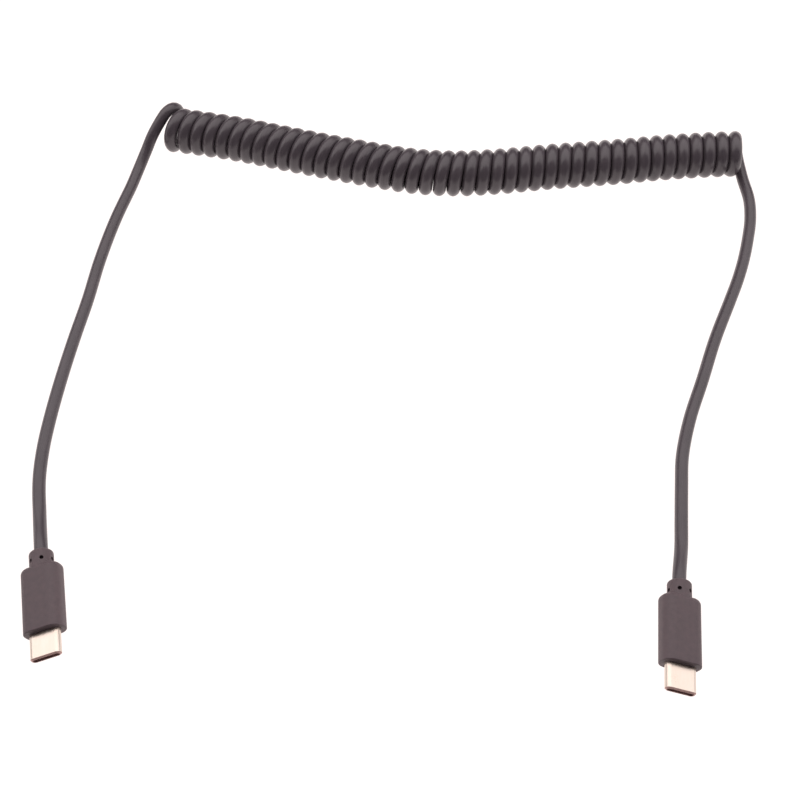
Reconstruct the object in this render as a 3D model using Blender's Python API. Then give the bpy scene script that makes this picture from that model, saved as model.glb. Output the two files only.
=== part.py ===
# Coiled charging and data cable with a flat plug on each end.
#
# Metres, +Z up, lying unheld on a level floor at z = 0. The curly middle runs roughly along X,
# a straight leg comes towards -Y from each of its ends, and each leg ends in a moulded plug.
# The origin is the centre of the whole outline on the floor.

import math

import bmesh
import bpy
from mathutils import Euler, Matrix, Vector

MM = 0.001
GAP = 0.3 * MM              # clearance left between neighbouring pieces
OVERCUT = 1.0 * MM          # how far a cut runs past the face that it opens

# Cord
CORD_D = 3.5 * MM           # outer diameter of the jacket
CORD_LIFT = 0.02 * MM       # keeps the legs' underside just off the floor
LEG_STEP = 7.0 * MM         # distance between the points that a leg is drawn through
CORD_INSERT = 2.7 * MM      # length of cord inside each plug's neck
CORD_STRAIGHT = 1.5 * MM    # straight stretch just outside the neck

# Curly part
COIL_MEAN_D = 10.3 * MM     # diameter of the turns, cord centre to cord centre
COIL_STEP = 9.0 * MM

# Moulded body of a plug
BODY_W = 10.7 * MM
BODY_T = 6.4 * MM
BODY_L = 17.75 * MM
BODY_CORNER_R = 2.8 * MM    # long edges
BODY_BACK_R = 1.5 * MM      # shoulder towards the cord
BODY_FRONT_R = 0.3 * MM
NECK_L = 4.3 * MM
NECK_WALL = 1.025 * MM
NECK_END_R = 0.9 * MM
HOLE_D = 1.05 * MM          # six small openings around the neck
HOLE_COUNT = 6
HOLE_FROM_END = 2.9 * MM

# Metal nose of a plug, the standard 8.25 x 2.40 mm with rounded sides
SHELL_W = 8.25 * MM
SHELL_T = 2.4 * MM
SHELL_OUT = 6.65 * MM       # stands out of the body
SHELL_IN = 2.0 * MM         # sits in the body
SHELL_WALL = 0.25 * MM
SHELL_BACK = 0.5 * MM       # closed end inside the body
LINER_WALL = 0.25 * MM
LINER_SETBACK = 0.5 * MM    # from the nose's mouth to the liner's rim
LINER_BACK = 1.0 * MM

# Where each plug's neck mouth is, its heading (positive turns the nose to +X) and its roll
# (positive lifts its +X side)
PLUGS = {
    "left": {"mouth": (-96.15, -56.80), "yaw": 11.1, "roll": 18.0},
    "right": {"mouth": (64.24, -65.10), "yaw": -6.2, "roll": -21.0},
}

# Centre line of the curly part on the floor, left to right, mm
COIL_ROUTE = [
    (-78.8, 87.5), (-57.2, 83.3), (-38.4, 78.4), (-19.9, 73.7), (-1.6, 69.7), (10.6, 68.7),
    (22.8, 69.3), (41.1, 71.5), (59.6, 73.3), (78.2, 75.5), (96.7, 76.7), (101.0, 76.6),
]

# Legs from the curly part towards their plugs: x, y and height of the underside, mm
LEG_ROUTES = {
    "left": [
        (-81.9, 83.6, 6.2), (-83.9, 80.3, 3.2), (-86.2, 74.7, 0.6), (-87.9, 67.8, 0.0),
        (-91.1, 54.8, 0.0), (-93.8, 39.4, 0.0), (-95.5, 24.6, 0.0), (-97.6, 10.5, 0.0),
        (-99.3, -3.0, 0.0), (-100.5, -16.1, 0.0), (-100.9, -25.5, 0.0), (-100.5, -34.7, 0.0),
        (-98.9, -44.5, 0.1),
    ],
    "right": [
        (100.2, 70.6, 0.0), (100.9, 62.7, 0.0), (100.1, 54.8, 0.0), (98.2, 47.0, 0.0),
        (95.9, 39.4, 0.0), (93.1, 31.9, 0.0), (89.9, 24.6, 0.0), (83.6, 10.5, 0.0),
        (78.4, -3.0, 0.0), (73.2, -16.1, 0.0), (69.9, -27.5, 0.0), (68.6, -36.5, 0.0),
        (67.3, -47.0, 0.0), (66.4, -54.0, 0.3),
    ],
}

NECK_BORE_D = CORD_D + 2 * GAP
NECK_D = NECK_BORE_D + 2 * NECK_WALL
COIL_D = COIL_MEAN_D + CORD_D


# %% [markdown]
# # Scene and small helpers

# %% Empty the scene
for old in list(bpy.data.objects):
    bpy.data.objects.remove(old, do_unlink=True)

parts = bpy.data.collections.new("coiled_cable")
cutters = bpy.data.collections.new("cutters")
bpy.context.scene.collection.children.link(parts)
bpy.context.scene.collection.children.link(cutters)


# %% Materials
def make_material(name, colour, roughness, metallic=0.0):
    material = bpy.data.materials.new(name)
    material.use_nodes = True
    shader = material.node_tree.nodes["Principled BSDF"]
    shader.inputs["Base Color"].default_value = (*colour, 1.0)
    shader.inputs["Roughness"].default_value = roughness
    shader.inputs["Metallic"].default_value = metallic
    return material


# %% Mesh objects
def mesh_object(name, bm, collection, material=None):
    bmesh.ops.recalc_face_normals(bm, faces=bm.faces)
    mesh = bpy.data.meshes.new(name)
    bm.to_mesh(mesh)
    bm.free()
    obj = bpy.data.objects.new(name, mesh)
    collection.objects.link(obj)
    if material:
        mesh.materials.append(material)
    if collection is cutters:
        obj.hide_render = True
        obj.display_type = "WIRE"
    return obj


def bevel(bm, edges, radius, segments):
    bmesh.ops.bevel(bm, geom=edges, offset=radius, offset_type="OFFSET", segments=segments,
                    profile=0.5, affect="EDGES", clamp_overlap=True)


def rounded_bar(width, thickness, y_back, y_front, corner_r, segments):
    """A bar along Y whose long edges are rounded; y_front is the lower value."""
    bm = bmesh.new()
    size = Matrix.Diagonal((width, y_back - y_front, thickness, 1.0))
    move = Matrix.Translation((0, (y_back + y_front) / 2, 0))
    bmesh.ops.create_cube(bm, size=1.0, matrix=move @ size)
    long_edges = [e for e in bm.edges if abs(e.verts[0].co.y - e.verts[1].co.y) > 1e-6]
    bevel(bm, long_edges, min(corner_r, 0.495 * thickness), segments)
    return bm


def rim_edges(bm, y):
    return [e for e in bm.edges if all(abs(v.co.y - y) < 1e-7 for v in e.verts)]


def rod(bm, radius, y_back, y_front, sides):
    """A round rod along Y, added to bm."""
    turn = Matrix.Rotation(math.radians(90), 4, "X")
    move = Matrix.Translation((0, (y_back + y_front) / 2, 0))
    bmesh.ops.create_cone(bm, cap_ends=True, segments=sides, radius1=radius, radius2=radius,
                          depth=y_back - y_front, matrix=move @ turn)


def boolean(obj, operation, other):
    modifier = obj.modifiers.new(other.name, "BOOLEAN")
    modifier.operation = operation
    modifier.solver = "EXACT"
    modifier.object = other


def smooth(obj, angle):
    obj.data.shade_smooth()
    obj.data.set_sharp_from_angle(angle=math.radians(angle))


# %% Smooth route through hand-set points
def smooth_route(points, step):
    """Points about one step apart on a centripetal Catmull-Rom curve through the given ones."""
    points = [Vector(p) for p in points]
    ends = [2 * points[0] - points[1], *points, 2 * points[-1] - points[-2]]
    fine = [points[0]]
    for a, b, c, d in zip(ends, ends[1:], ends[2:], ends[3:]):
        t0 = 0.0
        t1 = t0 + math.sqrt((b - a).length)
        t2 = t1 + math.sqrt((c - b).length)
        t3 = t2 + math.sqrt((d - c).length)
        for k in range(1, 25):
            t = t1 + (t2 - t1) * k / 24
            ab = a.lerp(b, (t - t0) / (t1 - t0))
            bc = b.lerp(c, (t - t1) / (t2 - t1))
            cd = c.lerp(d, (t - t2) / (t3 - t2))
            abc = ab.lerp(bc, (t - t0) / (t2 - t0))
            bcd = bc.lerp(cd, (t - t1) / (t3 - t1))
            fine.append(abc.lerp(bcd, (t - t1) / (t2 - t1)))
    lengths = [0.0]
    for p, q in zip(fine, fine[1:]):
        lengths.append(lengths[-1] + (q - p).length)
    count = max(2, round(lengths[-1] / step))
    out, k = [], 0
    for n in range(count + 1):
        want = lengths[-1] * n / count
        while k < len(fine) - 2 and lengths[k + 1] < want:
            k += 1
        span = lengths[k + 1] - lengths[k]
        out.append(fine[k].lerp(fine[k + 1], (want - lengths[k]) / span))
    return out


def tube(name, points, radius, resolution, material):
    curve = bpy.data.curves.new(name, "CURVE")
    curve.dimensions = "3D"
    curve.twist_mode = "Z_UP"
    curve.bevel_depth = radius
    curve.bevel_resolution = resolution
    curve.use_fill_caps = True
    spline = curve.splines.new("POLY")
    spline.points.add(len(points) - 1)
    for point, co in zip(spline.points, points):
        point.co = (*co, 1.0)
    curve.materials.append(material)
    obj = bpy.data.objects.new(name, curve)
    parts.objects.link(obj)
    return obj


jacket = make_material("jacket", (0.030, 0.026, 0.029), 0.55)
overmould = make_material("overmould", (0.033, 0.029, 0.032), 0.5)
steel = make_material("plated_steel", (0.80, 0.78, 0.74), 0.18, 1.0)
liner_plastic = make_material("liner_plastic", (0.02, 0.02, 0.022), 0.5)


# %% [markdown]
# # Plugs
# Each plug is drawn along Y: the neck's mouth is at y = 0 and the metal nose points to -Y.

# %% One plug
def support_height(roll):
    """Height of the plug's axis when its body, rolled about that axis, lies on the floor."""
    r = min(BODY_CORNER_R, 0.495 * BODY_T)
    half_w, half_t = BODY_W / 2 - r, BODY_T / 2 - r
    body = half_w * abs(math.sin(roll)) + half_t * abs(math.cos(roll)) + r
    return max(body, NECK_D / 2)


def build_plug(side, mouth, yaw, roll):
    yaw, roll = math.radians(yaw), math.radians(roll)
    place = Matrix.LocRotScale(
        Vector((mouth[0] * MM, mouth[1] * MM, support_height(roll))),
        Euler((0.0, -roll, yaw)), None)
    y_shoulder = -NECK_L
    y_face = y_shoulder - BODY_L
    y_nose = y_face - SHELL_OUT

    # Body: rounded bar with a soft shoulder at the back
    bm = rounded_bar(BODY_W, BODY_T, y_shoulder, y_face, BODY_CORNER_R, 5)
    bevel(bm, rim_edges(bm, y_shoulder), BODY_BACK_R, 4)
    bevel(bm, rim_edges(bm, y_face), BODY_FRONT_R, 2)
    body = mesh_object(f"plug_{side}_body", bm, parts, overmould)

    # Neck
    bm = bmesh.new()
    rod(bm, NECK_D / 2, 0.0, y_shoulder - BODY_L / 4, 32)
    bevel(bm, rim_edges(bm, 0.0), min(NECK_END_R, 0.9 * NECK_WALL), 3)
    neck = mesh_object(f"neck_{side}", bm, cutters)
    boolean(body, "UNION", neck)

    # Bore for the cord
    bm = bmesh.new()
    rod(bm, NECK_BORE_D / 2, OVERCUT, -CORD_INSERT - GAP, 24)
    bore = mesh_object(f"neck_bore_{side}", bm, cutters)
    boolean(body, "DIFFERENCE", bore)

    # Openings around the neck, the first half a step from the flat side's middle
    bm = bmesh.new()
    inner, outer = 0.6 * NECK_BORE_D / 2, NECK_D
    for n in range(HOLE_COUNT):
        angle = 2 * math.pi * (n + 0.5) / HOLE_COUNT
        spot = (Matrix.Translation((0, -HOLE_FROM_END, 0)) @ Matrix.Rotation(angle, 4, "Y")
                @ Matrix.Translation((0, 0, (inner + outer) / 2)))
        bmesh.ops.create_cone(bm, cap_ends=True, segments=12, radius1=HOLE_D / 2,
                              radius2=HOLE_D / 2, depth=outer - inner, matrix=spot)
    holes = mesh_object(f"neck_holes_{side}", bm, cutters)
    boolean(body, "DIFFERENCE", holes)

    # Pocket for the metal nose
    pocket = mesh_object(f"nose_pocket_{side}", rounded_bar(
        SHELL_W + 2 * GAP, SHELL_T + 2 * GAP, y_face + SHELL_IN + GAP, y_face - OVERCUT,
        SHELL_T / 2 + GAP, 5), cutters)
    boolean(body, "DIFFERENCE", pocket)
    smooth(body, 35)

    # Metal nose, open at its mouth
    y_shell_back = y_face + SHELL_IN
    shell = mesh_object(f"plug_{side}_shell", rounded_bar(
        SHELL_W, SHELL_T, y_shell_back, y_nose, SHELL_T / 2, 6), parts, steel)
    hollow_w, hollow_t = SHELL_W - 2 * SHELL_WALL, SHELL_T - 2 * SHELL_WALL
    hollow = mesh_object(f"nose_hollow_{side}", rounded_bar(
        hollow_w, hollow_t, y_shell_back - SHELL_BACK, y_nose - OVERCUT,
        hollow_t / 2, 6), cutters)
    boolean(shell, "DIFFERENCE", hollow)
    smooth(shell, 35)

    # Liner that carries the contacts, with the slot that the socket's tongue enters
    liner_w, liner_t = hollow_w - 2 * GAP, hollow_t - 2 * GAP
    y_liner_back = y_shell_back - SHELL_BACK - GAP
    liner = mesh_object(f"plug_{side}_liner", rounded_bar(
        liner_w, liner_t, y_liner_back, y_nose + LINER_SETBACK, liner_t / 2, 4),
        parts, liner_plastic)
    slot_w, slot_t = liner_w - 2 * LINER_WALL, liner_t - 2 * LINER_WALL
    slot = mesh_object(f"liner_slot_{side}", rounded_bar(
        slot_w, slot_t, y_liner_back - LINER_BACK, y_nose, 0.3 * slot_t, 2), cutters)
    boolean(liner, "DIFFERENCE", slot)

    for obj in (body, neck, bore, holes, pocket, shell, hollow, liner, slot):
        obj.matrix_world = place
    return place


# %% [markdown]
# # Cord

# %% Plugs and legs
for side, pose in PLUGS.items():
    place = build_plug(side, pose["mouth"], pose["yaw"], pose["roll"])
    route = [(x * MM, y * MM, lift * MM + CORD_LIFT + CORD_D / 2)
             for x, y, lift in LEG_ROUTES[side]]
    route.append(place @ Vector((0, CORD_STRAIGHT, 0)))
    route.append(place @ Vector((0, -CORD_INSERT, 0)))
    floor = CORD_D / 2 + CORD_LIFT
    centres = [Vector((p.x, p.y, max(p.z, floor))) for p in smooth_route(route, LEG_STEP)]
    tube(f"cord_leg_{side}", centres, CORD_D / 2, 2, jacket)

# %% Curly part, as its outer shape
coil_axis = smooth_route([(x * MM, y * MM, COIL_D / 2) for x, y in COIL_ROUTE], COIL_STEP)
tube("cord_coil", coil_axis, COIL_D / 2, 8, jacket)
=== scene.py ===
# %% [markdown]
# # A coiled charging cable, lying on a white table
# The cable is one cord, 3.5 mm thick, with a tight curl of 44 and a half turns in its middle, a
# straight leg from each end of the curl, and the same moulded plug on each leg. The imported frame
# gives the place and the size of every solid. This file adds what the solids leave out: the real
# turns of the cord, the finished plugs, and what each surface is made of.

# %% Load the frame
import math

import bmesh
import bpy
from mathutils import Euler, Matrix, Vector


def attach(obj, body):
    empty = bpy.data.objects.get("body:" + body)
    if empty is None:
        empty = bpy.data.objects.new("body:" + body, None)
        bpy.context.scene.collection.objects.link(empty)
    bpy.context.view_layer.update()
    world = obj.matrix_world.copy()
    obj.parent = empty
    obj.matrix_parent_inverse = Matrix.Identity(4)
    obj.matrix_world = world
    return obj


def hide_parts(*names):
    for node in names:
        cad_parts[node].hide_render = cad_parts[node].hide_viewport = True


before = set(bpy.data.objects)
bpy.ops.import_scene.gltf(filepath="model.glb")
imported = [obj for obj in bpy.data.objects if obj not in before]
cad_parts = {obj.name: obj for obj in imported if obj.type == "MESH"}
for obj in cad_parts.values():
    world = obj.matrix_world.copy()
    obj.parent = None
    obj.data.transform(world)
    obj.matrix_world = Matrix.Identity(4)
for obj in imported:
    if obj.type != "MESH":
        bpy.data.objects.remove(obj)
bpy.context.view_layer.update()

MM = 0.001


# %% [markdown]
# # Camera
# The picture is taken from above and in front, at about 57 degrees, with a lens of about 35
# degrees. These values come from the plugs' metal noses, whose size is a standard, and from the way
# the cord gets thinner with distance.

# %% Camera
EYE = (-0.0054, -0.1992, 0.2978)
TILT = 57.37                         # degrees below the horizon
SENSOR, LENS = 36.0, 57.7            # in millimetres, as Blender takes them

camera_data = bpy.data.cameras.new("camera")
camera_data.sensor_width = SENSOR
camera_data.lens = LENS
camera = bpy.data.objects.new("camera", camera_data)
camera.location = EYE
camera.rotation_euler = (math.radians(90 - TILT), 0.0, 0.0)
bpy.context.scene.collection.objects.link(camera)
bpy.context.scene.camera = camera
bpy.context.scene.view_settings.view_transform = "Standard"
print("camera sees", round(math.degrees(camera_data.angle), 1), "degrees")


# %% [markdown]
# # Where the plugs lie
# Each plug is drawn once along Y, with the mouth of its neck at the origin and its metal nose
# towards -Y. A turn about Z and a roll about its own length then lay it on the table: the stiff
# cord twists both plugs, so each one leans on the long edge of its body.

# %% Plug poses
BODY_W, BODY_T, BODY_L = 10.7 * MM, 6.4 * MM, 17.75 * MM
CORNER_R = 2.8 * MM
NECK_L, NECK_D = 4.3 * MM, 6.15 * MM
SHELL_W, SHELL_T, SHELL_OUT = 8.25 * MM, 2.4 * MM, 6.65 * MM

PLUGS = {                            # millimetres and degrees
    "left": {"mouth": (-96.15, -56.80), "yaw": 11.1, "roll": 18.0},
    "right": {"mouth": (64.24, -65.10), "yaw": -6.2, "roll": -21.0},
}


def plug_place(mouth, yaw, roll):
    """Turns a plug by its yaw and roll, and lifts it until its lowest edge is on the table."""
    yaw, roll = math.radians(yaw), math.radians(roll)
    height = ((BODY_W / 2 - CORNER_R) * abs(math.sin(roll))
              + (BODY_T / 2 - CORNER_R) * abs(math.cos(roll)) + CORNER_R)
    spot = Vector((mouth[0] * MM, mouth[1] * MM, height))
    return Matrix.LocRotScale(spot, Euler((0.0, -roll, yaw)), None)


places = {side: plug_place(**pose) for side, pose in PLUGS.items()}
for side, place in places.items():
    print(side, "plug's neck ends at", [round(c, 4) for c in place.translation])


# %% [markdown]
# # The cord's route
# A cord is a fixed length of something springy, so it follows one smooth curve from plug to plug.
# The legs go through points listed on the table. The curl is worked out: its axis is a smooth
# line, and the cord's centre circles that axis, one turn for each pitch. Seen from the left plug
# the cord comes over the top of the curl, winds along to the right, and leaves from below. The
# turns lean a little, and they change their spacing and their lean slowly from end to end.

# %% Smooth curve through points
def smooth_route(points, per_span=24):
    """A centripetal Catmull-Rom curve, which bends gently and never overshoots much."""
    points = [Vector(p) for p in points]
    ends = [2 * points[0] - points[1], *points, 2 * points[-1] - points[-2]]
    out = [points[0]]
    for a, b, c, d in zip(ends, ends[1:], ends[2:], ends[3:]):
        t0 = 0.0
        t1 = t0 + math.sqrt((b - a).length)
        t2 = t1 + math.sqrt((c - b).length)
        t3 = t2 + math.sqrt((d - c).length)
        for k in range(1, per_span + 1):
            t = t1 + (t2 - t1) * k / per_span
            ab = a.lerp(b, (t - t0) / (t1 - t0))
            bc = b.lerp(c, (t - t1) / (t2 - t1))
            cd = c.lerp(d, (t - t2) / (t3 - t2))
            abc = ab.lerp(bc, (t - t0) / (t2 - t0))
            bcd = bc.lerp(cd, (t - t1) / (t3 - t1))
            out.append(abc.lerp(bcd, (t - t1) / (t2 - t1)))
    return out


def along(points):
    """Distance from the start to each point."""
    total = [0.0]
    for p, q in zip(points, points[1:]):
        total.append(total[-1] + (q - p).length)
    return total


def spaced(points, step):
    """The same line with points about one step apart."""
    total = along(points)
    count = max(2, round(total[-1] / step))
    out, k = [], 0
    for n in range(count + 1):
        want = total[-1] * n / count
        while k < len(points) - 2 and total[k + 1] < want:
            k += 1
        out.append(points[k].lerp(points[k + 1], (want - total[k]) / (total[k + 1] - total[k])))
    return out


# %% Legs and the curl's axis, as in the solids
CORD_D = 3.5 * MM
CORD_LIFT = 0.02 * MM
CORD_INSERT = 2.7 * MM
CORD_STRAIGHT = 1.5 * MM
COIL_MEAN_D = 10.3 * MM

# All points are in millimetres. The third value of a leg's point is its lift off the table.
COIL_ROUTE = [
    (-78.8, 87.5), (-57.2, 83.3), (-38.4, 78.4), (-19.9, 73.7), (-1.6, 69.7), (10.6, 68.7),
    (22.8, 69.3), (41.1, 71.5), (59.6, 73.3), (78.2, 75.5), (96.7, 76.7), (101.0, 76.6),
]
LEG_ROUTES = {
    "left": [
        (-81.9, 83.6, 6.2), (-83.9, 80.3, 3.2), (-86.2, 74.7, 0.6), (-87.9, 67.8, 0.0),
        (-91.1, 54.8, 0.0), (-93.8, 39.4, 0.0), (-95.5, 24.6, 0.0), (-97.6, 10.5, 0.0),
        (-99.3, -3.0, 0.0), (-100.5, -16.1, 0.0), (-100.9, -25.5, 0.0), (-100.5, -34.7, 0.0),
        (-98.9, -44.5, 0.1),
    ],
    "right": [
        (100.2, 70.6, 0.0), (100.9, 62.7, 0.0), (100.1, 54.8, 0.0), (98.2, 47.0, 0.0),
        (95.9, 39.4, 0.0), (93.1, 31.9, 0.0), (89.9, 24.6, 0.0), (83.6, 10.5, 0.0),
        (78.4, -3.0, 0.0), (73.2, -16.1, 0.0), (69.9, -27.5, 0.0), (68.6, -36.5, 0.0),
        (67.3, -47.0, 0.0), (66.4, -54.0, 0.3),
    ],
}
FLOOR_Z = CORD_D / 2 + CORD_LIFT

# %% Turns of the curl
TURNS = 44.5
STEPS = 32                           # points in each turn
COIL_SPARE = 0.03 * MM               # added to the radius that the solids use
COIL_RADIUS = COIL_MEAN_D / 2 + COIL_SPARE
START = 1.83 * MM                    # from the axis' right end to the first turn's underside

# Factors of 1, u, u squared and u cubed, where u goes from 0 at the right end to 1 at the left.
RUN = (0.0, 178.8, 6.2, -6.9)        # millimetres along the axis, tighter turns at both ends
LEAN = (-0.024, 0.420, -0.247)       # radians that the turns lean back to the left
TIP = (-0.136, 0.275, -0.226)        # radians that their tops tip along the curl

# Near the left end the turns stand off to the left. Each line says how many turns before the end
# that starts, over how many turns it grows, and to how many millimetres.
LAST_TURN = (1.2, 0.6, 0.45)
LOOSE_TURNS = (6.5, 4.5, 0.75)

axis = smooth_route([(x * MM, y * MM, 0.0) for x, y in COIL_ROUTE])
axis_length = along(axis)


def on_axis(distance):
    """The axis' point and its direction at a distance from its left end."""
    k = 0
    while k < len(axis) - 2 and axis_length[k + 1] < distance:
        k += 1
    span = axis[k + 1] - axis[k]
    return axis[k] + span * ((distance - axis_length[k]) / span.length), span.normalized()


def over_curl(factors, u):
    """What a list of factors comes to at u."""
    return sum(factor * u ** power for power, factor in enumerate(factors))


def soft_step(share):
    """0 up to 0, 1 from 1 on, and a smooth rise between them."""
    share = min(max(share, 0.0), 1.0)
    return share * share * (3 - 2 * share)


def stand_off(turn):
    """Millimetres by which a turn lies further left than an even winding has it."""
    return sum(reach * soft_step((turn - TURNS + early) / over)
               for early, over, reach in (LAST_TURN, LOOSE_TURNS))


def turn_point(turn):
    """The cord's centre after so many turns from the right, starting at the curl's underside, and
    the direction from the axis to it."""
    u = turn / TURNS
    centre, heading = on_axis(axis_length[-1] - START - over_curl(RUN, u) * MM)
    centre = centre - heading * MM * stand_off(turn)
    lean, tip = over_curl(LEAN, u), over_curl(TIP, u)
    away = Matrix.Rotation(-lean, 3, "Z") @ Vector((-heading.y, heading.x, 0.0))
    up = heading * math.sin(tip) + Vector((0.0, 0.0, math.cos(tip)))
    angle = 2 * math.pi * turn
    out = away * math.sin(angle) - up * math.cos(angle)
    return centre + Vector((0.0, 0.0, FLOOR_Z + COIL_RADIUS)) + out * COIL_RADIUS, out


# %% The whole centre line, from the right plug to the left one
FIRST_STEP = 2                       # steps of the first turn that are left to the leg
SHARED = 2                           # points at each end of the turns that an end curve runs along
LEG_STEP = 1.2 * MM
OVER_THE_END = [                     # from the last turn around the left end, with true heights
    (-74.8, 91.2, 3.0), (-74.5, 93.1, 6.3), (-74.8, 92.9, 9.8), (-76.0, 91.2, 11.9),
    (-77.6, 89.2, 12.1), (-79.1, 87.3, 11.0),
]


def leg_points(side):
    """A leg's points, from the curl towards its plug."""
    return [Vector((x * MM, y * MM, lift * MM + FLOOR_Z)) for x, y, lift in LEG_ROUTES[side]]


def neck_points(side):
    """Two points that take the cord straight into its plug."""
    return [places[side] @ Vector((0, CORD_STRAIGHT, 0)),
            places[side] @ Vector((0, -CORD_INSERT, 0))]


wound = [turn_point(n / STEPS) for n in range(FIRST_STEP, int(TURNS) * STEPS + FIRST_STEP)]
turns = [point for point, out in wound]
outward = [out for point, out in wound]
over_the_end = [Vector((x * MM, y * MM, z * MM)) for x, y, z in OVER_THE_END]
right_end = smooth_route([*reversed(neck_points("right")), *reversed(leg_points("right")),
                          *turns[:SHARED + 1]])
left_end = smooth_route([*turns[-SHARED - 1:], *over_the_end, *leg_points("left"),
                         *neck_points("left")])
for point in right_end + left_end:
    point.z = max(point.z, FLOOR_Z)
right_line, left_line = spaced(right_end, LEG_STEP), spaced(left_end, LEG_STEP)
route = right_line[:-1] + turns[SHARED:-SHARED] + left_line[1:]
CORD_LENGTH = along(route)[-1]
print("cord", round(CORD_LENGTH, 4), "m,", len(route), "points")


# %% [markdown]
# # Cord tube
# The cord is a soft round jacket over twisted wires. A curve with a round bevel would do for the
# legs, but in the curl each turn presses on the next one and the jacket spreads towards it. So the
# tube is built ring by ring, and each ring has its own width.

# %% Cord tube
CURL_W = 3.98 * MM                   # where the turns press on each other the jacket spreads
SIDE_POWER = 4                       # the higher, the closer the spread keeps to the two sides


def ring_axes(points, outward, first):
    """Two axes for the ring at each point. In the curl the first one points away from the curl;
    along the legs it is carried on with as little turning as the line lets it."""
    count = len(points)
    headings = [(points[min(k + 1, count - 1)] - points[max(k - 1, 0)]).normalized()
                for k in range(count)]
    outs = [None] * count
    for k, out in enumerate(outward):
        outs[first + k] = (out - headings[first + k] * out.dot(headings[first + k])).normalized()
    for step, start in ((-1, first), (1, first + len(outward) - 1)):
        k = start + step
        while 0 <= k < count:
            outs[k] = headings[k - step].rotation_difference(headings[k]) @ outs[k - step]
            k += step
    return [(out, heading.cross(out)) for out, heading in zip(outs, headings)]


def cord_tube(name, points, axes, halves, sides=24):
    """A tube with a ring of its own half height and half width at each point, closed at both
    ends, and a UV map that runs in metres along the cord and around it. A width beyond the height
    goes into the ring's two sides, which leaves the rest of it round."""
    verts, faces, uvs = [], [], []
    run = along(points)
    for point, (out, across), (high, wide) in zip(points, axes, halves):
        for s in range(sides):
            a = 2 * math.pi * s / sides
            side = math.sin(a) * (high + (wide - high) * math.sin(a) ** SIDE_POWER)
            verts.append(point + out * (math.cos(a) * high) + across * side)
    girth = math.pi * CORD_D
    for k in range(len(points) - 1):
        for s in range(sides):
            a, b = k * sides + s, k * sides + (s + 1) % sides
            faces.append((a, b, b + sides, a + sides))
            v, w = girth * s / sides, girth * (s + 1) / sides
            uvs += [(run[k], v), (run[k], w), (run[k + 1], w), (run[k + 1], v)]
    last = (len(points) - 1) * sides
    for ring in (reversed(range(sides)), range(last, last + sides)):
        faces.append(tuple(ring))
        uvs += [(0.0, 0.0)] * sides
    mesh = bpy.data.meshes.new(name)
    mesh.from_pydata(verts, [], faces)
    layer = mesh.uv_layers.new(name="cord")
    for loop, uv in zip(layer.data, uvs):
        loop.uv = uv
    obj = bpy.data.objects.new(name, mesh)
    bpy.context.scene.collection.objects.link(obj)
    mesh.shade_smooth()
    return obj


first = len(right_line) - 1          # where the turns start in the route
count = len(turns) - 2 * SHARED
halves = []
for k in range(len(route)):
    inside = soft_step(min(k - first, first + count - k) / (STEPS / 2) + 0.5)
    wide = CORD_D + (CURL_W - CORD_D) * inside
    halves.append((CORD_D / 2, wide / 2))
cord = cord_tube("cord", route, ring_axes(route, outward[SHARED:-SHARED], first), halves)
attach(cord, "root")
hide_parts("cord_coil", "cord_leg_left", "cord_leg_right")
print("cord tube", len(cord.data.polygons), "faces")


# %% [markdown]
# # Tools for modelling by hand
# The plugs are modelled as by hand: a primitive is added at its size and place, its edges and
# faces are picked by where they lie, and Blender's own operators shape it. These helpers keep the
# selection clean, because an operator acts on everything that is selected.

# %% Selecting and shaping
LEVEL = 0.001 * MM                   # corners that differ by less lie at one place
LONG = 0.01 * MM                     # an edge that covers more along Y runs along Y


def nothing_selected():
    if bpy.context.object and bpy.context.object.mode != "OBJECT":
        bpy.ops.object.mode_set(mode="OBJECT")
    bpy.ops.object.select_all(action="DESELECT")


def only(obj):
    nothing_selected()
    obj.select_set(True)
    bpy.context.view_layer.objects.active = obj


def pick(obj, kind, test):
    """Opens edit mode with only the edges or faces selected whose corners all pass the test."""
    only(obj)
    bpy.ops.object.mode_set(mode="EDIT")
    bpy.ops.mesh.select_mode(type=kind)
    bpy.ops.mesh.select_all(action="DESELECT")
    mesh = bmesh.from_edit_mesh(obj.data)
    for item in (mesh.edges if kind == "EDGE" else mesh.faces):
        if test([v.co for v in item.verts]):
            item.select_set(True)
    bmesh.update_edit_mesh(obj.data)


def done():
    """Leaves edit mode."""
    bpy.ops.object.mode_set(mode="OBJECT")


def block(size, centre):
    """A box of that size with its size and place in its mesh."""
    nothing_selected()
    bpy.ops.mesh.primitive_cube_add(size=1, location=centre)
    obj = bpy.context.object
    obj.scale = size
    bpy.ops.object.transform_apply(location=True, rotation=True, scale=True)
    return obj


def rod(radius, start, end, turn=(math.pi / 2, 0, 0), sides=48):
    """A cylinder along Y between two places, or turned another way."""
    nothing_selected()
    middle = (Vector(start) + Vector(end)) / 2
    bpy.ops.mesh.primitive_cylinder_add(vertices=sides, radius=radius, location=middle,
                                        depth=(Vector(end) - Vector(start)).length, rotation=turn)
    obj = bpy.context.object
    bpy.ops.object.transform_apply(location=True, rotation=True, scale=True)
    return obj


def long_edges(corners):
    """True for an edge that runs along Y."""
    return abs(corners[0].y - corners[1].y) > LONG


def at_y(y):
    """A test for what lies flat at that distance along the plug."""
    return lambda corners: all(abs(c.y - y) < LEVEL for c in corners)


def apply(obj, kind, **settings):
    only(obj)
    modifier = obj.modifiers.new(kind.lower(), kind)
    for name, value in settings.items():
        setattr(modifier, name, value)
    bpy.ops.object.modifier_apply(modifier=modifier.name)


def combine(obj, tool, how):
    apply(obj, "BOOLEAN", operation=how, object=tool, solver="EXACT")
    bpy.data.objects.remove(tool)


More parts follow.
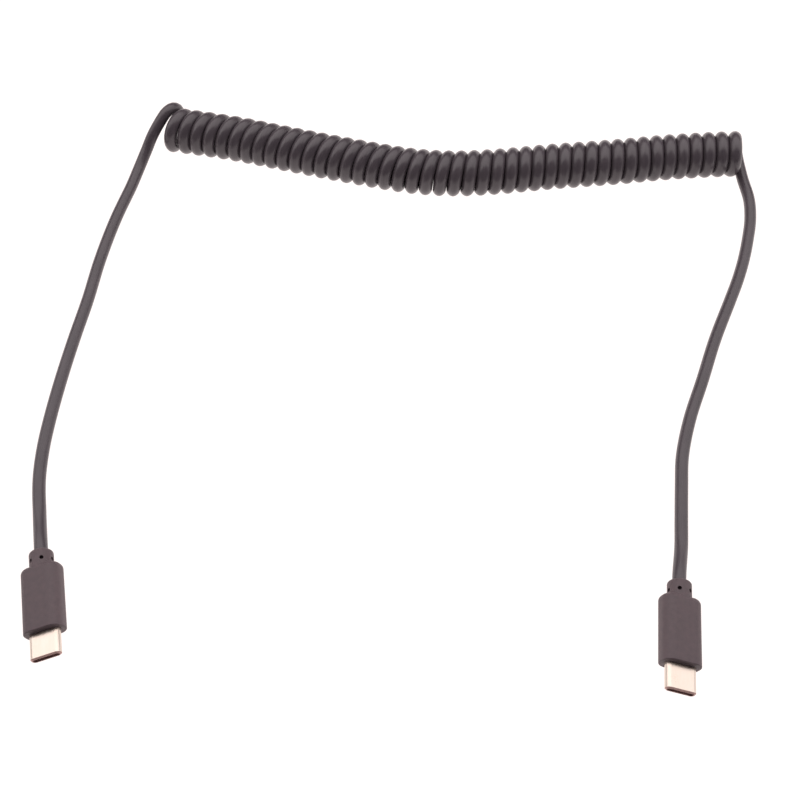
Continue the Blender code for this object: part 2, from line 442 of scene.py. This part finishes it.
# %% [markdown]
# # Plug moulding
# On the real cable the plug's body and its neck are one piece of soft plastic, moulded around the
# circuit board and over the end of the cord. The body could be a sculpted form, but a tool maker
# would cut it as a block with rounded long edges, a softer shoulder at the cord's side and an almost
# sharp edge around the flat front. So a block is bevelled in three steps, the round neck is joined
# to it, and the six small openings that let the neck flex are cut through to the cord.

# %% Body block
FACE_Y = -(NECK_L + BODY_L)
SHOULDER_R, FRONT_R = 1.5 * MM, 0.3 * MM

body = block((BODY_W, BODY_L, BODY_T), (0, -NECK_L - BODY_L / 2, 0))
pick(body, "EDGE", long_edges)
bpy.ops.mesh.bevel(offset=CORNER_R, segments=10, affect="EDGES")
done()
for y, radius, steps in ((-NECK_L, SHOULDER_R, 8), (FACE_Y, FRONT_R, 3)):
    pick(body, "EDGE", at_y(y))
    bpy.ops.mesh.bevel(offset=radius, segments=steps, affect="EDGES")
    done()

# %% Neck with its openings
NECK_END_R, NECK_ROOT = 0.9 * MM, 3.0 * MM
BORE_SPARE, BORE_BEYOND = 0.03 * MM, 0.3 * MM      # room around the cord and past its end
HOLES, HOLE_D, HOLE_FROM_END = 6, 1.05 * MM, 2.9 * MM
CUT_FROM, CUT_TO = 1.0 * MM, 5.0 * MM              # an opening's cutter, from the neck's middle

neck = rod(NECK_D / 2, (0, 0, 0), (0, -NECK_L - NECK_ROOT, 0))
pick(neck, "EDGE", at_y(0))
bpy.ops.mesh.bevel(offset=NECK_END_R, segments=6, affect="EDGES")
done()
combine(body, neck, "UNION")
bore = rod(CORD_D / 2 + BORE_SPARE, (0, MM, 0), (0, -CORD_INSERT - BORE_BEYOND, 0))
combine(body, bore, "DIFFERENCE")
where = Vector((0, -HOLE_FROM_END, 0))
for hole in range(HOLES):
    a = math.radians((hole + 0.5) * 360 / HOLES)
    out = Vector((math.sin(a), 0, math.cos(a)))
    cutter = rod(HOLE_D / 2, where + out * CUT_FROM, where + out * CUT_TO, turn=(0, a, 0), sides=20)
    combine(body, cutter, "DIFFERENCE")
print("moulding", len(body.data.polygons), "faces,", HOLES, "openings")


# %% [markdown]
# # Metal nose
# The nose is a short tube of thin sheet steel, drawn to a section with two flat and two round
# sides, and its rim at the mouth is pressed in at 45 degrees so that it finds its way into a socket.
# A block with fully rounded long edges gives the outside, its front edge is chamfered, its ends are
# opened, and the sheet gets its thickness inwards, so the standard outer size stays exact.

# %% Nose of sheet steel
SHELL_IN, SHELL_WALL, RIM = 2.0 * MM, 0.25 * MM, 0.42 * MM
SHELL_END_Y, NOSE_Y = FACE_Y + SHELL_IN, FACE_Y - SHELL_OUT
POCKET_SPARE, SHEET_EDGE_R = 0.02 * MM, 0.05 * MM
ALMOST_HALF = 0.9999 / 2             # of the height: two bevels of a full half would collide
MERGE = 0.002 * MM


def rounded_bar(width, height, start_y, end_y, steps=14):
    """A bar along Y whose short sides are half circles."""
    bar = block((width, start_y - end_y, height), (0, (start_y + end_y) / 2, 0))
    pick(bar, "EDGE", long_edges)
    bpy.ops.mesh.bevel(offset=height * ALMOST_HALF, segments=steps, affect="EDGES")
    bpy.ops.mesh.select_all(action="SELECT")
    bpy.ops.mesh.remove_doubles(threshold=MERGE)
    done()
    return bar


nose = rounded_bar(SHELL_W, SHELL_T, SHELL_END_Y, NOSE_Y)
pocket = rounded_bar(SHELL_W + POCKET_SPARE, SHELL_T + POCKET_SPARE, SHELL_END_Y, NOSE_Y - MM)
combine(body, pocket, "DIFFERENCE")
pick(nose, "EDGE", at_y(NOSE_Y))
bpy.ops.mesh.bevel(offset=RIM, segments=1, affect="EDGES")
done()
for y in (SHELL_END_Y, NOSE_Y):
    pick(nose, "FACE", at_y(y))
    bpy.ops.mesh.delete(type="FACE")
    done()
apply(nose, "SOLIDIFY", thickness=SHELL_WALL, offset=-1.0)
apply(nose, "BEVEL", width=SHEET_EDGE_R, segments=2, limit_method="ANGLE",
      angle_limit=math.radians(50))
# The rim's faces take the second material, whose darker, pinkish brown colour is painted shade.
for face in nose.data.polygons:                  # the coined rim gets the second material
    face.material_index = int(face.center.y < NOSE_Y + RIM)
print("nose", len(nose.data.polygons), "faces")


# %% [markdown]
# # Insert and contacts
# Inside the nose sits a plastic insert with a slot for the socket's tongue, and twelve gold plated
# springs look into the slot from above and twelve from below, half a millimetre apart. The insert
# is the same rounded bar: its front face is set in by the width of the slot's edge and pushed
# back. One spring is modelled, an array repeats it, and a mirror makes the lower row.

# %% Insert
LINER_SETBACK, LINER_BACK, LINER_SPARE = 0.35 * MM, 1.0 * MM, 0.01 * MM
SLOT_EDGE, SLOT_DEPTH = 0.45 * MM, 5.3 * MM

insert = rounded_bar(SHELL_W - 2 * SHELL_WALL - LINER_SPARE, SHELL_T - 2 * SHELL_WALL - LINER_SPARE,
                     FACE_Y + LINER_BACK, NOSE_Y + LINER_SETBACK)
pick(insert, "FACE", at_y(NOSE_Y + LINER_SETBACK))
bpy.ops.mesh.inset(thickness=SLOT_EDGE)
bpy.ops.mesh.extrude_region_move(TRANSFORM_OT_translate={"value": (0, SLOT_DEPTH, 0)})
done()
print("insert", len(insert.data.polygons), "faces")

# %% Contacts
CONTACTS, CONTACT_PITCH = 12, 0.5 * MM             # in one row
SPRING_W, SPRING_L, SPRING_T = 0.24 * MM, 3.4 * MM, 0.07 * MM
SPRING_Y, SPRING_Z = NOSE_Y + 3.9 * MM, 0.44 * MM
BOW_Y, BOW_REACH, BOW = NOSE_Y + 3.4 * MM, 1.9 * MM, 0.13 * MM

spring = block((SPRING_W, SPRING_L, SPRING_T),
               (-CONTACT_PITCH * (CONTACTS - 1) / 2, SPRING_Y, SPRING_Z))
pick(spring, "EDGE", long_edges)
bpy.ops.mesh.subdivide(number_cuts=5)
done()
for vertex in spring.data.vertices:
    bow = math.cos((vertex.co.y - BOW_Y) / BOW_REACH * math.pi / 2)
    vertex.co.z -= BOW * max(bow, 0.0)
apply(spring, "ARRAY", count=CONTACTS, use_relative_offset=False, use_constant_offset=True,
      constant_offset_displace=(CONTACT_PITCH, 0, 0))
apply(spring, "MIRROR", use_axis=(False, False, True), use_mirror_merge=False)
only(spring)
bpy.ops.object.mode_set(mode="EDIT")
bpy.ops.mesh.select_all(action="SELECT")
bpy.ops.mesh.normals_make_consistent(inside=False)
done()
print("contacts", len(spring.data.polygons), "faces")

# %% Smooth, copy and place
for piece, angle in ((body, 32), (nose, 40), (insert, 35), (spring, 35)):      # in degrees
    only(piece)
    bpy.ops.object.shade_smooth_by_angle(angle=math.radians(angle))
    apply(piece, "WEIGHTED_NORMAL", keep_sharp=True)


def laid(piece, side, name, slot, *nodes):
    """A copy with its own mesh, laid where that plug lies."""
    copy = bpy.data.objects.new(f"plug_{side}_{name}", piece.data.copy())
    copy.data.transform(places[side])
    bpy.context.scene.collection.objects.link(copy)
    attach(copy, "root")
    if nodes:
        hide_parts(*nodes)
    return copy


plugs = {side: {
    "moulding": laid(body, side, "moulding", "body", f"plug_{side}_body"),
    "nose": laid(nose, side, "nose", "shell", f"plug_{side}_shell"),
    "insert": laid(insert, side, "insert", "liner", f"plug_{side}_liner"),
    "contacts": laid(spring, side, "contacts", "shell"),
} for side in ("left", "right")}
for piece in (body, nose, insert, spring):
    bpy.data.objects.remove(piece)
print("laid", [copy.name for pieces in plugs.values() for copy in pieces.values()])


# %% [markdown]
# # Colours and nodes
# Colours are written as sRGB hex, as a colour picker shows them, and one function turns them to
# the linear values that a shader works with. One more function adds a node with its settings and
# links, so that each material reads as a list of what its surface is made of.

# %% Colour and node helpers
PATCH = 6                            # grains across one patch of drifting colour
DARK_END, LIGHT_END = 0.3, 0.7       # where on its noise the colour stops changing


def linear(hex_code):
    """An sRGB hex colour as linear red, green, blue and alpha."""
    parts = [int(hex_code[i:i + 2], 16) / 255 for i in (1, 3, 5)]
    return (*[c / 12.92 if c <= 0.04045 else ((c + 0.055) / 1.055) ** 2.4 for c in parts], 1.0)


def add_node(tree, kind, links=(), **settings):
    """Adds a node. A setting is a property of the node or the value of one of its sockets; a link
    is (socket, node, output)."""
    node = tree.nodes.new("ShaderNode" + kind)
    for name, value in settings.items():
        if name in node.inputs:
            node.inputs[name].default_value = value
        elif name.startswith("in_"):
            node.inputs[name[3:].replace("_", " ").title()].default_value = value
        else:
            setattr(node, name, value)
    for socket, source, output in links:
        tree.links.new(source.outputs[output], node.inputs[socket])
    return node


def finish(name, size, dark, light, rough, bump, metallic=0.0, uv=None, stretch=(1, 1, 1)):
    """A material whose colour and gloss drift a little, with a fine grain in relief. Size is the
    grain's in metres, and stretch below 1 draws it out along that direction."""
    material = bpy.data.materials.new(name)
    material.use_nodes = True
    tree, shader = material.node_tree, material.node_tree.nodes["Principled BSDF"]
    shader.inputs["Metallic"].default_value = metallic
    if uv:
        where = add_node(tree, "Mapping", [("Vector", add_node(tree, "UVMap", uv_map=uv), "UV")])
    else:
        where = add_node(tree, "Mapping", [("Vector", add_node(tree, "TexCoord"), "Object")])
    where.inputs["Scale"].default_value = stretch
    cloud = add_node(tree, "TexNoise", [("Vector", where, 0)], in_scale=1 / (size * PATCH),
                     in_detail=4.0, in_roughness=0.6)
    tint = add_node(tree, "ValToRGB", [("Fac", cloud, "Fac")])
    for stop, position, colour in zip(tint.color_ramp.elements, (DARK_END, LIGHT_END),
                                      (dark, light)):
        stop.position = position
        stop.color = linear(colour)
    gloss = add_node(tree, "MapRange", [("Value", cloud, "Fac")])
    gloss.inputs["To Min"].default_value, gloss.inputs["To Max"].default_value = rough
    grain = add_node(tree, "TexNoise", [("Vector", where, 0)], in_scale=1 / size, in_detail=3.0)
    relief = add_node(tree, "Bump", [("Height", grain, "Fac")], in_distance=bump, in_strength=1.0)
    for socket, source, output in (("Base Color", tint, "Color"), ("Roughness", gloss, "Result"),
                                   ("Normal", relief, "Normal")):
        tree.links.new(source.outputs[output], shader.inputs[socket])
    return material


# %% [markdown]
# # Jacket and moulding
# The cord's jacket is a soft thermoplastic elastomer, pushed through a round die. The eye gets a
# dark warm grey with a low, soft sheen: the turns are paler where they face the lights above and
# the white table below, and almost black where they face the dark room in front.
# The plug's moulding is a stiffer grade of the same plastic, and the mould's spark-cut walls give
# it a fine grain that spreads every highlight, so it looks flat and dull beside the cord.

# %% Jacket and moulding
jacket = finish("extruded_tpe", size=0.35 * MM, dark="#4b4449", light="#554d52",
                rough=(0.25, 0.33), bump=0.006 * MM, uv="cord",
                stretch=(0.25, 1.0, 1.0))          # the die draws its marks out
overmould = finish("spark_textured_tpe", size=0.22 * MM, dark="#5b4e52", light="#655559",
                   rough=(0.52, 0.58), bump=0.008 * MM)
cord.data.materials.append(jacket)
print("materials", jacket.name, overmould.name)

# %% [markdown]
# # Metals and the insert
# The nose is stainless steel with a satin nickel finish: the eye gets a cream white top that
# blurs the lights, and slightly pink sides that take up the table. Its rim is pressed in and left
# duller, and its darker, pinkish brown colour is painted shade for the dark room in front that it
# reflects. The contacts are gold plated bronze. The insert is glass-filled plastic, a dull reddish
# brown in the mouth's shade.

# %% Steel, gold and plastic
steel = finish("satin_nickel_steel", size=0.3 * MM, dark="#d8cabd", light="#dfd3c8",
               rough=(0.24, 0.34), bump=0.0004 * MM, metallic=1.0, stretch=(1.0, 0.3, 1.0))
# The rim's darker, pinkish brown colour is painted shade: it stands for the dark room in front that
# the rim reflects.
rim = finish("coined_rim_painted_shade", size=0.08 * MM, dark="#c9aca6", light="#d5b8b2",
             rough=(0.65, 0.8), bump=0.001 * MM, metallic=1.0)
gold = finish("gold_plated_bronze", size=0.1 * MM, dark="#d8ae5e", light="#e6c276",
              rough=(0.2, 0.3), bump=0.0005 * MM, metallic=1.0)
glass_filled = finish("glass_filled_plastic", size=0.06 * MM, dark="#906e69", light="#9e7b77",
                      rough=(0.4, 0.5), bump=0.002 * MM)
for side in ("left", "right"):
    for name, materials in (("moulding", [overmould]), ("nose", [steel, rim]),
                            ("insert", [glass_filled]), ("contacts", [gold])):
        for material in materials:
            plugs[side][name].data.materials.append(material)
print("materials", steel.name, rim.name, gold.name, glass_filled.name)


# %% [markdown]
# # Table and light
# The cable lies on a white table under three very large soft lights, with a smaller one standing
# on each side, in a dim, slightly blue room. The table gives off light of its own. That hides the
# shadows on it, and it lights the cable's underside, as a light table does.

# %% Table
TABLE_SIZE, TABLE_GLOW = 8.0, 1.15

nothing_selected()
bpy.ops.mesh.primitive_plane_add(size=TABLE_SIZE, location=(0, 0, 0))
table = bpy.context.object
table.name = "table"
white = bpy.data.materials.new("white_acrylic")
white.use_nodes = True
white_inputs = white.node_tree.nodes["Principled BSDF"].inputs
white_inputs["Base Color"].default_value = linear("#3a3a3a")
white_inputs["Specular IOR Level"].default_value = 0.0
white_inputs["Emission Color"].default_value = linear("#fff6f4")
white_inputs["Emission Strength"].default_value = TABLE_GLOW
table.data.materials.append(white)
print("table", TABLE_SIZE, "m")

# %% Soft lights
OVERHEAD = (                         # name, size, x, y and radiance
    ("left", (1.6, 1.45), -1.2, 0.575, 1.7),
    ("middle", (0.8, 1.4), 0.0, 0.6, 1.75),
    ("right", (1.6, 1.45), 1.2, 0.575, 1.55),
)
BESIDE = (("left_wall", -1.6, 0.6), ("right_wall", 1.6, 1.0))      # name, x and radiance
OVERHEAD_Z = 0.9
BESIDE_SIZE, BESIDE_Y, BESIDE_Z = (1.4, 0.7), 0.5, 0.35
ROOM_GLOW = 0.07


def softbox(name, size, place, towards, radiance):
    """A rectangle of even light that faces a point; its power follows from its radiance."""
    data = bpy.data.lights.new(name, "AREA")
    data.shape = "RECTANGLE"
    data.size, data.size_y = size
    data.energy = radiance * math.pi * size[0] * size[1]
    data.color = linear("#fff8f7")[:3]
    obj = bpy.data.objects.new(name, data)
    obj.location = place
    obj.rotation_euler = (Vector(towards) - Vector(place)).to_track_quat("-Z", "Y").to_euler()
    bpy.context.scene.collection.objects.link(obj)


for name, size, x, y, radiance in OVERHEAD:
    softbox(name, size, (x, y, OVERHEAD_Z), (x, y, 0.0), radiance)
for name, x, radiance in BESIDE:
    softbox(name, BESIDE_SIZE, (x, BESIDE_Y, BESIDE_Z), (0.0, BESIDE_Y, BESIDE_Z), radiance)

world = bpy.context.scene.world or bpy.data.worlds.new("world")
bpy.context.scene.world = world
world.use_nodes = True
room = world.node_tree.nodes["Background"].inputs
room["Color"].default_value = linear("#dfe6f8")
room["Strength"].default_value = ROOM_GLOW
print("lights", len(OVERHEAD) + len(BESIDE))
